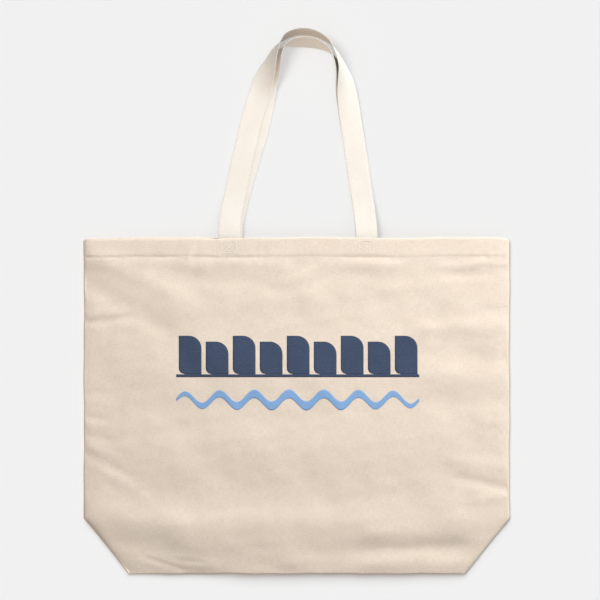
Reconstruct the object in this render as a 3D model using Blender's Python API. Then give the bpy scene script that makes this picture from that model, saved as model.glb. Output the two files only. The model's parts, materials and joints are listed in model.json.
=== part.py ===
"""Cotton canvas tote bag with two webbing handles, lying flat on its back.

+Z is up off the table, +Y runs from the base crease to the handles, and +X is to the right.
The origin is the centre of the bottom of the whole bag, handles included. All sizes are in metres.
"""

import math

import bmesh
import bpy
from mathutils import Vector

# Driving dimensions of the bag body
BAG_WIDTH = 0.508
BAG_HEIGHT = 0.400
HANDLE_RISE = 0.25427
CLOTH = 0.0008
GAP = 0.0003
CORNER_ACROSS = 0.0535
CORNER_UP = 0.0655
BAG_DEPTH_FLAT = 0.0138
EDGE_STACK = 0.0034
SIDE_TAPER = 0.070
BASE_TAPER = 0.060

# Hem, seams and base
HEM_DEPTH = 0.0225
HEM_LIFT = 0.0012
HEM_SIDE_CLEAR = 0.014
LIFT_START = 0.040
LIFT_END = 0.030
SEAM_ALLOWANCE = 0.009
GUSSET_DEPTH = 0.060
GUSSET_HALF_WIDTH = 0.188
CORNER_SEAM_LENGTH = 0.030

# Webbing handles
WEB_WIDTH = 0.0254
WEB_THICK = 0.0012
FRONT_LEGS_X = (-0.0805, 0.0835)
BACK_LEGS_X = (-0.0775, 0.0832)
HINGE_RISE = 0.0093
HINGE_GAP = 0.0004
HINGE_OUTSIDE = 0.0002
TAB_DEPTH = 0.020
STATIONS_PER_SPAN = 4

# Stitching and printing
THREAD = 0.0004
THREAD_WIDTH = 0.0008
TACK_WIDTH = 0.018
TACK_HEIGHT = 0.014
TACK_BELOW_MOUTH = 0.0032
INK = 0.0003
PRINT_CENTRE_X = 0.0015
PRINT_WIDTH = 0.290
LEAVES = 9
LEAF_FOOT_BELOW_MOUTH = 0.1625
LEAF_TALL = 0.0460
LEAF_SHORT = 0.0390
LEAF_CLEAR_LEFT = 0.0030
LEAF_CLEAR_RIGHT = 0.0020
LEAF_ROUND = 0.0150
STEM_WIDTH = 0.0035
RIBBON_BELOW_MOUTH = 0.1930
RIBBON_WAVES = 7
RIBBON_STEPS = 84
RIBBON_SWING = 0.0072
RIBBON_HALF_END = 0.0018
RIBBON_HALF_GAIN = 0.0037

# Places that follow from the driving dimensions
TOTAL_LENGTH = BAG_HEIGHT + HANDLE_RISE
BASE_Y = -TOTAL_LENGTH / 2
MOUTH_Y = BASE_Y + BAG_HEIGHT
HALF_WIDTH = BAG_WIDTH / 2
FRONT_PLATEAU = BAG_DEPTH_FLAT - CLOTH
BACK_TAB_Z = HEM_LIFT + 2 * (CLOTH + GAP)
FRONT_TAB_Z = FRONT_PLATEAU - CLOTH - 2 * GAP - WEB_THICK
HINGE_Y = MOUTH_Y + HINGE_RISE
FRONT_HINGE_Z = FRONT_TAB_Z + WEB_THICK + HINGE_OUTSIDE
BACK_HINGE_Z = BACK_TAB_Z - HINGE_OUTSIDE

# Handle routes from the left hem to the right hem. Each station gives x, the distance beyond the
# mouth edge, how far the webbing is rolled in degrees, and the height of its lower edge.
FRONT_ROUTE = [
    (FRONT_LEGS_X[0], HINGE_RISE, 0, FRONT_TAB_Z + WEB_THICK / 2),
    (-0.0788, 0.026, 0, 0.0082),
    (-0.0743, 0.047, 0, 0.0042),
    (-0.0687, 0.076, 0, 0.0028),
    (-0.0615, 0.107, 0, 0.0028),
    (-0.0532, 0.143, 0, 0.0028),
    (-0.0445, 0.173, 6, 0.0025),
    (-0.0375, 0.196, 30, 0.0020),
    (-0.0310, 0.213, 58, 0.0015),
    (-0.0245, 0.229, 76, 0.0011),
    (-0.0145, 0.2448, 93, 0.0010),
    (-0.0025, 0.2515, 95, 0.0010),
    (0.0100, 0.2526, 94, 0.0010),
    (0.0230, 0.2498, 94, 0.0010),
    (0.0365, 0.2416, 92, 0.0010),
    (0.0468, 0.2270, 84, 0.0011),
    (0.0542, 0.2100, 72, 0.0015),
    (0.0580, 0.1940, 48, 0.0020),
    (0.0603, 0.1760, 22, 0.0024),
    (0.0634, 0.1500, 5, 0.0028),
    (0.0692, 0.1110, 0, 0.0028),
    (0.0750, 0.0690, 0, 0.0028),
    (0.0800, 0.0380, 0, 0.0050),
    (FRONT_LEGS_X[1], HINGE_RISE, 0, FRONT_TAB_Z + WEB_THICK / 2),
]
BACK_ROUTE = [
    (BACK_LEGS_X[0], HINGE_RISE, 0, BACK_TAB_Z + WEB_THICK / 2),
    (-0.0764, 0.020, 0, 0.0028),
    (-0.0713, 0.038, 0, 0.0011),
    (-0.0648, 0.065, 0, 0.0010),
    (-0.0553, 0.099, 0, 0.0010),
    (-0.0463, 0.130, 0, 0.0010),
    (-0.0396, 0.160, 0, 0.0010),
    (-0.0355, 0.186, 10, 0.0010),
    (-0.0300, 0.205, 34, 0.0009),
    (-0.0225, 0.222, 66, 0.0008),
    (-0.0140, 0.2322, 92, 0.0007),
    (-0.0040, 0.2366, 120, 0.0007),
    (0.0080, 0.2382, 134, 0.0007),
    (0.0200, 0.2370, 134, 0.0007),
    (0.0310, 0.2325, 116, 0.0007),
    (0.0398, 0.2262, 96, 0.0007),
    (0.0465, 0.2160, 80, 0.0008),
    (0.0515, 0.2030, 62, 0.0009),
    (0.0565, 0.1880, 36, 0.0009),
    (0.0605, 0.1680, 10, 0.0010),
    (0.0648, 0.1400, 0, 0.0010),
    (0.0705, 0.1080, 0, 0.0010),
    (0.0762, 0.0680, 0, 0.0010),
    (0.0804, 0.0380, 0, 0.0011),
    (0.0824, 0.0200, 0, 0.0028),
    (BACK_LEGS_X[1], HINGE_RISE, 0, BACK_TAB_Z + WEB_THICK / 2),
]


def clear_scene():
    """Remove every object, so that the script starts from nothing."""
    for obj in list(bpy.data.objects):
        bpy.data.objects.remove(obj, do_unlink=True)


def make_material(name, color, roughness):
    """One cloth, thread or ink finish."""
    material = bpy.data.materials.new(name)
    material.use_nodes = True
    shader = material.node_tree.nodes["Principled BSDF"]
    shader.inputs["Base Color"].default_value = (*color, 1.0)
    shader.inputs["Roughness"].default_value = roughness
    shader.inputs["Metallic"].default_value = 0.0
    material.diffuse_color = (*color, 1.0)
    return material


def canvas(name):
    """Natural unbleached cotton canvas."""
    return make_material(f"{name}_canvas", (0.82, 0.72, 0.60), 0.92)


def webbing(name):
    """Cotton webbing, a little paler than the canvas."""
    return make_material(f"{name}_webbing", (0.91, 0.86, 0.76), 0.88)


def thread(name):
    """Sewing thread in the canvas colour."""
    return make_material(f"{name}_thread", (0.86, 0.79, 0.69), 0.80)


def ease(share):
    """Smooth step from 0 to 1."""
    share = min(max(share, 0.0), 1.0)
    return share * share * (3 - 2 * share)


def spread(low, high, count):
    """Evenly spaced values from low to high, both included."""
    return [low + (high - low) * step / (count - 1) for step in range(count)]


def half_width(y):
    """Half the bag's width at y, which narrows where the boxed corners are folded in."""
    return HALF_WIDTH - CORNER_ACROSS * max(0.0, 1 - (y - BASE_Y) / CORNER_UP)


def back_low(y):
    """Underside of the back panel: flat on the table, and lifted at the hem for the stitching."""
    return HEM_LIFT * ease((y - MOUTH_Y + LIFT_START) / (LIFT_START - LIFT_END))


def front_low(x, y):
    """Underside of the front panel: a low plateau that falls to the side seams and the base."""
    inset = (half_width(y) - abs(x)) / SIDE_TAPER
    rise = ease(inset) * ease((y - BASE_Y) / BASE_TAPER)
    edge = back_low(y) + EDGE_STACK
    return edge + (FRONT_PLATEAU - edge) * rise


def add_object(name, mesh_data, material, origin=(0, 0, 0)):
    """Turn a bmesh into a named object whose origin stands at origin."""
    bmesh.ops.recalc_face_normals(mesh_data, faces=mesh_data.faces)
    bmesh.ops.translate(mesh_data, verts=mesh_data.verts, vec=-Vector(origin))
    mesh = bpy.data.meshes.new(name)
    mesh_data.to_mesh(mesh)
    mesh_data.free()
    mesh.materials.append(material)
    obj = bpy.data.objects.new(name, mesh)
    obj.location = origin
    bpy.context.collection.objects.link(obj)
    return obj


def loft(name, rings, material, origin=(0, 0, 0)):
    """Skin rings of equal size, and close the first and the last."""
    data = bmesh.new()
    made = [[data.verts.new(point) for point in ring] for ring in rings]
    size = len(rings[0])
    for one, two in zip(made, made[1:]):
        for k in range(size):
            after = (k + 1) % size
            data.faces.new((one[k], one[after], two[after], two[k]))
    data.faces.new(list(reversed(made[0])))
    data.faces.new(made[-1])
    return add_object(name, data, material, origin)


def sheet(name, rows, low, thickness, material):
    """A closed sheet over rows of (x, y) points, with its underside at height low(x, y)."""
    data = bmesh.new()
    under = [[data.verts.new((x, y, low(x, y))) for x, y in row] for row in rows]
    over = [[data.verts.new((x, y, low(x, y) + thickness)) for x, y in row] for row in rows]
    for j in range(len(rows) - 1):
        for i in range(len(rows[0]) - 1):
            cell = ((j, i), (j, i + 1), (j + 1, i + 1), (j + 1, i))
            data.faces.new([over[a][b] for a, b in cell])
            data.faces.new([under[a][b] for a, b in reversed(cell)])
    last_row = len(rows) - 1
    last_column = len(rows[0]) - 1
    rim = [(0, i) for i in range(last_column)]
    rim += [(j, last_column) for j in range(last_row)]
    rim += [(last_row, i) for i in range(last_column, 0, -1)]
    rim += [(j, 0) for j in range(last_row, 0, -1)]
    for (a, b), (c, d) in zip(rim, rim[1:] + rim[:1]):
        data.faces.new((under[a][b], under[c][d], over[c][d], over[a][b]))
    return add_object(name, data, material)


def prism(name, outline, low, high, material):
    """An upright plate on an outline of (x, y) points."""
    rings = [[(x, y, z) for x, y in outline] for z in (low, high)]
    return loft(name, rings, material)


def cut_away(target, cutter):
    """Cut one solid with another, which stays hidden in the scene."""
    cutter.hide_render = True
    cutter.display_type = "WIRE"
    modifier = target.modifiers.new("cut", "BOOLEAN")
    modifier.operation = "DIFFERENCE"
    modifier.solver = "EXACT"
    modifier.object = cutter


def panel_rows():
    """Grid points of a bag panel, closer together where it curves down."""
    ys = spread(BASE_Y, BASE_Y + CORNER_UP, 7) + spread(BASE_Y + CORNER_UP, MOUTH_Y - LIFT_START, 4)[1:]
    ys += spread(MOUTH_Y - LIFT_START, MOUTH_Y - LIFT_END, 4)[1:] + [MOUTH_Y]
    rows = []
    for y in ys:
        edge = half_width(y)
        side = spread(edge - SIDE_TAPER, edge, 7)
        xs = [-x for x in reversed(side)] + [0.0] + side
        rows.append([(x, y) for x in xs])
    return rows


def build_panels():
    """The front and the back of the bag body."""
    rows = panel_rows()
    sheet("back_panel", rows, lambda x, y: back_low(y), CLOTH, canvas("back_panel"))
    sheet("front_panel", rows, front_low, CLOTH, canvas("front_panel"))


def build_hems():
    """The turned-in band inside each panel along the mouth."""
    reach = HALF_WIDTH - HEM_SIDE_CLEAR
    side = spread(HALF_WIDTH - SIDE_TAPER, reach, 6)
    xs = [-x for x in reversed(side)] + [0.0] + side
    ys = (MOUTH_Y - HEM_DEPTH - THREAD_WIDTH, MOUTH_Y)
    rows = [[(x, y) for x in xs] for y in ys]
    step = CLOTH + GAP
    sheet("back_hem", rows, lambda x, y: HEM_LIFT + step, CLOTH, canvas("back_hem"))
    sheet("front_hem", rows, lambda x, y: front_low(x, y) - step, CLOTH, canvas("front_hem"))


def build_side_seams():
    """Two layers of seam allowance inside each side edge."""
    ys = spread(BASE_Y + CORNER_UP, MOUTH_Y - LIFT_START, 2) + spread(MOUTH_Y - LIFT_END, MOUTH_Y, 2)
    for side, name in ((-1, "side_seam_left"), (1, "side_seam_right")):
        outer = side * (HALF_WIDTH - GAP)
        inner = side * (HALF_WIDTH - GAP - SEAM_ALLOWANCE)
        rows = [[(x, y) for x in sorted((outer, inner))] for y in ys]
        sheet(name, rows, lambda x, y: back_low(y) + CLOTH + GAP, 2 * CLOTH, canvas(name))


def build_base_gusset():
    """The base strip, folded up between the panels so that its two legs lie on each other."""
    low = CLOTH + GAP
    high = EDGE_STACK - GAP
    mouth = BASE_Y + GAP
    fold = BASE_Y + GUSSET_DEPTH
    profile = [
        (mouth, low),
        (fold, low),
        (fold, high),
        (mouth, high),
        (mouth, high - CLOTH),
        (fold - 2 * CLOTH, high - CLOTH),
        (fold - 2 * CLOTH, low + CLOTH),
        (mouth, low + CLOTH),
    ]
    rings = [[(x, y, z) for y, z in profile] for x in (-GUSSET_HALF_WIDTH, GUSSET_HALF_WIDTH)]
    loft("base_gusset", rings, canvas("base_gusset"))


def corner_points():
    """Ends of the right corner's fold line, and where the folded-in corner's tip lies."""
    upper = Vector((HALF_WIDTH, BASE_Y + CORNER_UP))
    lower = Vector((HALF_WIDTH - CORNER_ACROSS, BASE_Y))
    cut_tip = Vector((HALF_WIDTH, BASE_Y))
    along = (lower - upper).normalized()
    foot = upper + along * (cut_tip - upper).dot(along)
    return upper, lower, 2 * foot - cut_tip


def build_corner_folds():
    """The boxed corners, folded in between the panels in two layers."""
    upper, lower, tip = corner_points()
    centre = (upper + lower + tip) / 3
    outward = Vector((lower.y - upper.y, upper.x - lower.x)).normalized() * -1
    shape = [point.lerp(centre, 0.06) for point in (upper, lower, tip)]
    slot = [point.lerp(centre, 0.16) for point in (upper, lower, tip)]
    slot[0] += outward * CORNER_ACROSS / 4
    slot[1] += outward * CORNER_ACROSS / 4
    low = CLOTH + GAP
    high = EDGE_STACK - GAP
    for side, name in ((-1, "corner_fold_left"), (1, "corner_fold_right")):
        fold = prism(name, [(side * p.x, p.y) for p in shape], low, high, canvas(name))
        cutter = prism(
            f"{name}_slot",
            [(side * p.x, p.y) for p in slot],
            low + CLOTH,
            high - CLOTH,
            fold.active_material,
        )
        cut_away(fold, cutter)


def build_corner_seams():
    """The short seam allowance beside each folded-in corner."""
    tip = corner_points()[2]
    low = EDGE_STACK
    for side, name in ((-1, "corner_seam_left"), (1, "corner_seam_right")):
        xs = (side * (tip.x - SEAM_ALLOWANCE / 2), side * (tip.x + SEAM_ALLOWANCE / 2))
        ys = (tip.y - CORNER_SEAM_LENGTH / 3, tip.y + CORNER_SEAM_LENGTH * 2 / 3)
        outline = [(xs[0], ys[0]), (xs[1], ys[0]), (xs[1], ys[1]), (xs[0], ys[1])]
        prism(name, outline, low, low + 2 * CLOTH, canvas(name))


def build_handle_ends():
    """The sewn-down ends of the handles, inside the hem and just past the mouth."""
    ys = (MOUTH_Y - TAB_DEPTH, HINGE_Y - HINGE_GAP)
    for layer, low, legs in (("front", FRONT_TAB_Z, FRONT_LEGS_X), ("back", BACK_TAB_Z, BACK_LEGS_X)):
        for end, leg_x in zip(("left", "right"), legs):
            name = f"{layer}_handle_end_{end}"
            xs = (leg_x - WEB_WIDTH / 2, leg_x + WEB_WIDTH / 2)
            outline = [(xs[0], ys[0]), (xs[1], ys[0]), (xs[1], ys[1]), (xs[0], ys[1])]
            prism(name, outline, low, low + WEB_THICK, webbing(name))


def smooth_route(route):
    """Points along a smooth curve through the stations of a route."""
    padded = [route[0], *route, route[-1]]
    points = []
    for before, start, end, after in zip(padded, padded[1:], padded[2:], padded[3:]):
        for step in range(STATIONS_PER_SPAN):
            t = step / STATIONS_PER_SPAN
            point = []
            for a, b, c, d in zip(before, start, end, after):
                bend = (2 * a - 5 * b + 4 * c - d) * t**2 + (3 * b - 3 * c + d - a) * t**3
                point.append(b + ((c - a) * t + bend) / 2)
            points.append(point)
    points.append(list(route[-1]))
    return points


def build_handle(name, route, hinge_z):
    """One webbing loop: flat along its legs, and rolled up on edge over its top."""
    points = smooth_route(route)
    centres = []
    for x, beyond, roll, low in points:
        height = low + WEB_WIDTH / 2 * math.sin(math.radians(roll))
        centres.append(Vector((x, MOUTH_Y + beyond, height)))
    rings = []
    last = len(points) - 1
    for k, centre in enumerate(centres):
        along = (centres[min(k + 1, last)] - centres[max(k - 1, 0)]).normalized()
        if k in (0, last):
            along = Vector((0, 1 if k == 0 else -1, 0))
        roll = math.radians(points[k][2])
        inward = Vector((along.y, -along.x, 0)).normalized()
        across = inward * math.cos(roll) + Vector((0, 0, math.sin(roll)))
        face = across.cross(along).normalized() * WEB_THICK / 2
        across *= WEB_WIDTH / 2
        low_side = centre - across
        high_side = centre + across
        rings.append([low_side - face, high_side - face, high_side + face, low_side + face])
    loft(name, rings, webbing(name), origin=(0, HINGE_Y, hinge_z))


def build_tack_stitches():
    """A sewn box with a cross in it, holding each handle end to the hem."""
    top = MOUTH_Y - TACK_BELOW_MOUTH
    bottom = top - TACK_HEIGHT
    over = BAG_DEPTH_FLAT + GAP
    under = HEM_LIFT - GAP - THREAD
    for layer, low, legs in (("front", over, FRONT_LEGS_X), ("back", under, BACK_LEGS_X)):
        for end, leg_x in zip(("left", "right"), legs):
            name = f"{layer}_tack_{end}"
            left = leg_x - TACK_WIDTH / 2
            right = leg_x + TACK_WIDTH / 2
            corners = [Vector(c) for c in ((left, bottom), (right, bottom), (right, top), (left, top))]
            tack = prism(name, corners, low, low + THREAD, thread(name))
            centre = (corners[0] + corners[2]) / 2
            for k, corner in enumerate(corners):
                window = [corner, corners[(k + 1) % 4], centre]
                middle = (window[0] + window[1] + window[2]) / 3
                window = [point.lerp(middle, 0.30) for point in window]
                finish = tack.active_material
                cutter = prism(f"{name}_window_{k}", window, low - THREAD, low + 2 * THREAD, finish)
                cut_away(tack, cutter)


def build_hem_stitches():
    """The row of stitching along the lower edge of each hem."""
    reach = HALF_WIDTH - HEM_SIDE_CLEAR
    side = spread(HALF_WIDTH - SIDE_TAPER, reach, 6)
    xs = [-x for x in reversed(side)] + [0.0] + side
    middle = MOUTH_Y - HEM_DEPTH
    rows = [[(x, y) for x in xs] for y in (middle - THREAD_WIDTH / 2, middle + THREAD_WIDTH / 2)]
    over = CLOTH + GAP
    under = HEM_LIFT - GAP - THREAD
    sheet("front_hem_stitch", rows, lambda x, y: front_low(x, y) + over, THREAD, thread("front_hem_stitch"))
    sheet("back_hem_stitch", rows, lambda x, y: under, THREAD, thread("back_hem_stitch"))


def leaf_top(left, right, foot, tip, radius):
    """Points over one upright leaf, right to left: two of its opposite corners are round."""
    points = [(right, foot), (right, tip - radius)]
    for step in range(1, 8):
        turn = math.radians(90 * step / 7)
        points.append((right - radius + radius * math.cos(turn), tip - radius + radius * math.sin(turn)))
    points.append((left, tip))
    small = radius / 2
    for step in range(0, 6):
        turn = math.radians(180 + 90 * step / 5)
        points.append((left + small + small * math.cos(turn), foot + 2 * small + small * math.sin(turn)))
    points.append((left + small, foot))
    return points


def build_print_upper():
    """A printed garland: nine leaves standing on one thin stem line."""
    foot = MOUTH_Y - LEAF_FOOT_BELOW_MOUTH
    pitch = PRINT_WIDTH / LEAVES
    start = PRINT_CENTRE_X - PRINT_WIDTH / 2
    outline = [(start, foot - STEM_WIDTH), (start + PRINT_WIDTH, foot - STEM_WIDTH)]
    for k in reversed(range(LEAVES)):
        left = start + pitch * k + LEAF_CLEAR_LEFT
        right = start + pitch * (k + 1) - LEAF_CLEAR_RIGHT
        tip = foot + (LEAF_TALL if k % 2 == 0 else LEAF_SHORT)
        outline += leaf_top(left, right, foot, tip, LEAF_ROUND)
    outline.append((start, foot))
    low = BAG_DEPTH_FLAT + GAP
    ink = make_material("print_upper_ink", (0.054, 0.081, 0.133), 0.75)
    prism("print_upper", outline, low, low + INK, ink)


def build_print_lower():
    """A printed ribbon below the garland, in even waves and thickest in the middle."""
    middle = MOUTH_Y - RIBBON_BELOW_MOUTH
    start = PRINT_CENTRE_X - PRINT_WIDTH / 2
    upper = []
    lower = []
    for step in range(RIBBON_STEPS + 1):
        share = step / RIBBON_STEPS
        x = start + PRINT_WIDTH * share
        y = middle + RIBBON_SWING * math.sin(math.tau * RIBBON_WAVES * share)
        half = RIBBON_HALF_END + RIBBON_HALF_GAIN * math.sin(math.pi * share) ** 0.5
        upper.append((x, y + half))
        lower.append((x, y - half))
    low = BAG_DEPTH_FLAT + GAP
    ink = make_material("print_lower_ink", (0.242, 0.386, 0.617), 0.75)
    prism("print_lower", lower + upper[::-1], low, low + INK, ink)


def main():
    clear_scene()
    build_panels()
    build_hems()
    build_side_seams()
    build_base_gusset()
    build_corner_folds()
    build_corner_seams()
    build_handle_ends()
    build_handle("front_handle", FRONT_ROUTE, FRONT_HINGE_Z)
    build_handle("back_handle", BACK_ROUTE, BACK_HINGE_Z)
    build_tack_stitches()
    build_hem_stitches()
    build_print_upper()
    build_print_lower()


if __name__ == "__main__":
    main()
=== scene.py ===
"""Cotton canvas tote bag, laid flat: the cloth, webbing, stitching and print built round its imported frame.

All sizes are in metres. +Z is up off the table and +Y runs from the base crease to the handles.
"""

import json
import math

import bpy
import numpy as np
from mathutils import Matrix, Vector

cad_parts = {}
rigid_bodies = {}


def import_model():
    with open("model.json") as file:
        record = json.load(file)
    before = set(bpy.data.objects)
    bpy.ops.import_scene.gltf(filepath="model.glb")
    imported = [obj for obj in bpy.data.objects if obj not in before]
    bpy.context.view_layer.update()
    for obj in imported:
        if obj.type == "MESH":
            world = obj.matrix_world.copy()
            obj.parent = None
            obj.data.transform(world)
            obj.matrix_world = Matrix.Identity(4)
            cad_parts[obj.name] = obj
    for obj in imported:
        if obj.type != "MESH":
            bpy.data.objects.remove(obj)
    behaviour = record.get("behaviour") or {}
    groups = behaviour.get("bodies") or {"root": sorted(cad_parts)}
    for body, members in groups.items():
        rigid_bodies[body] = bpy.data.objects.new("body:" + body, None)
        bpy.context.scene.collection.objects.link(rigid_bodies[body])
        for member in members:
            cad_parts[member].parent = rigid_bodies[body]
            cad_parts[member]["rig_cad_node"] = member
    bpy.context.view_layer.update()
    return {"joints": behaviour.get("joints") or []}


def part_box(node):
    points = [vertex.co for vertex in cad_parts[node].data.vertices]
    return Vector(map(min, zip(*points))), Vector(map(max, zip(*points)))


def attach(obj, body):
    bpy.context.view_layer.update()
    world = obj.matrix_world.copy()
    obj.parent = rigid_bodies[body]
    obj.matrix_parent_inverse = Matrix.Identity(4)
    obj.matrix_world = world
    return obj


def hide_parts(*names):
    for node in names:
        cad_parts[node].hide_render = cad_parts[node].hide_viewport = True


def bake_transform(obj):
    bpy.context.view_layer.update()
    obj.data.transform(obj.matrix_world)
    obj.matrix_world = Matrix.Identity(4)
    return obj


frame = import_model()

bl_info = {
    "name": "Canvas Tote Bag",
    "version": (1, 0, 0),
    "blender": (4, 5, 0),
    "location": "3D View > Sidebar > Tote Bag",
    "description": "Builds a flat-laid cotton tote bag with webbing handles",
    "category": "Add Mesh",
}

# Places read from the frame
PANEL_LOW, PANEL_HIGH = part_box("front_panel")
HALF_WIDTH = PANEL_HIGH.x
BASE_Y = PANEL_LOW.y
MOUTH_Y = PANEL_HIGH.y
PLATEAU_TOP = PANEL_HIGH.z
GUSSET_TOP_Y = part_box("base_gusset")[1].y
HEM_LOW_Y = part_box("front_hem_stitch")[0].y
HINGES = {joint["child"]: Vector(joint["pos_m"]) for joint in frame["joints"]}
HINGE_RISE = HINGES["front_handle"].y - MOUTH_Y

# Cloth layers
CLOTH = 0.0008
GAP = 0.0003
LAYER = CLOTH + GAP
HEM_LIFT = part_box("back_hem")[0].z - LAYER
EDGE_STACK = 0.0034
HEM_INSET = 0.0026
HEM_END = 0.0012
BASE_INSET = 0.0009
BASE_FOLD_HALF = 0.1875
CORNER_ACROSS = 0.0535
CORNER_UP = 0.0655
LIFT_START = 0.040
LIFT_END = 0.030
EDGE_ROUND = 0.0014
SIDE_SEAM_Z = (0.00185, 0.00235)
CORNER_FOLD_Z = (0.00150, 0.00270)

# Bands of closer mesh rows and columns: at the side edges, the stitch line and the base
SIDE_BAND = 0.008
STITCH_BAND = 0.004
BASE_BAND = 0.045
BASE_RIM = 0.008

# Webbing
WEB_WIDTH = 0.0254
WEB_THICK = 0.0012
TAB_DEPTH = 0.020
WEB_STEP = 0.00057
WEB_SMOOTH = 14

# Print
INK_CLEAR = 0.00003
INK_THICK = 0.00011
STEM_WIDTH = 0.0035
LEAF_MARGINS = (0.0030, 0.0020)
LEAF_STEP = 0.0070
LEAF_ROUND = 0.0150
RIBBON_WIDEST = 0.0110
RIBBON_END = 0.0036

# Table, light and camera
TABLE_REACH = 6.0
TABLE_Z = -0.0002
SOFTBOX_SIZE = 1.1
SOFTBOX_PLACE = (0.95, 1.55, 1.45)
SOFTBOX_TARGET = (0, -0.05, 0)
DOME_ANGLE = 178.0
CAMERA_X = 0.0042
CAMERA_Y = -0.0010

# Handle routes from the left hem to the right hem. Each station gives x, the distance beyond the
# mouth edge, how far the webbing is rolled in degrees, and the height of its lower edge.
FRONT_ROUTE = [
    (-0.0805, HINGE_RISE, 0, 0.0110),
    (-0.0788, 0.026, 0, 0.0082),
    (-0.0743, 0.047, 0, 0.0042),
    (-0.0687, 0.076, 0, 0.0028),
    (-0.0615, 0.107, 0, 0.0028),
    (-0.0532, 0.143, 0, 0.0028),
    (-0.0445, 0.173, 6, 0.0025),
    (-0.0375, 0.196, 30, 0.0020),
    (-0.0310, 0.213, 58, 0.0015),
    (-0.0245, 0.229, 76, 0.0011),
    (-0.0145, 0.2425, 102, 0.0010),
    (-0.0025, 0.2483, 108, 0.0010),
    (0.0100, 0.2493, 109, 0.0010),
    (0.0230, 0.2468, 107, 0.0010),
    (0.0365, 0.2395, 99, 0.0010),
    (0.0468, 0.2270, 84, 0.0011),
    (0.0542, 0.2100, 72, 0.0015),
    (0.0580, 0.1940, 48, 0.0020),
    (0.0603, 0.1760, 22, 0.0024),
    (0.0634, 0.1500, 5, 0.0028),
    (0.0692, 0.1110, 0, 0.0028),
    (0.0750, 0.0690, 0, 0.0028),
    (0.0800, 0.0380, 0, 0.0050),
    (0.0835, HINGE_RISE, 0, 0.0110),
]
BACK_ROUTE = [
    (-0.0775, HINGE_RISE, 0, 0.0040),
    (-0.0764, 0.020, 0, 0.0028),
    (-0.0713, 0.038, 0, 0.0011),
    (-0.0648, 0.065, 0, 0.0010),
    (-0.0553, 0.099, 0, 0.0010),
    (-0.0463, 0.130, 0, 0.0010),
    (-0.0396, 0.160, 0, 0.0010),
    (-0.0355, 0.186, 10, 0.0010),
    (-0.0300, 0.205, 34, 0.0009),
    (-0.0225, 0.222, 66, 0.0008),
    (-0.0140, 0.2322, 92, 0.0007),
    (-0.0040, 0.2356, 112, 0.0007),
    (0.0080, 0.2373, 118, 0.0007),
    (0.0200, 0.2361, 118, 0.0007),
    (0.0310, 0.2317, 108, 0.0007),
    (0.0398, 0.2262, 96, 0.0007),
    (0.0465, 0.2160, 80, 0.0008),
    (0.0515, 0.2030, 62, 0.0009),
    (0.0565, 0.1880, 36, 0.0009),
    (0.0605, 0.1680, 10, 0.0010),
    (0.0648, 0.1400, 0, 0.0010),
    (0.0705, 0.1080, 0, 0.0010),
    (0.0762, 0.0680, 0, 0.0010),
    (0.0804, 0.0380, 0, 0.0011),
    (0.0824, 0.0200, 0, 0.0028),
    (0.0832, HINGE_RISE, 0, 0.0040),
]

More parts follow.
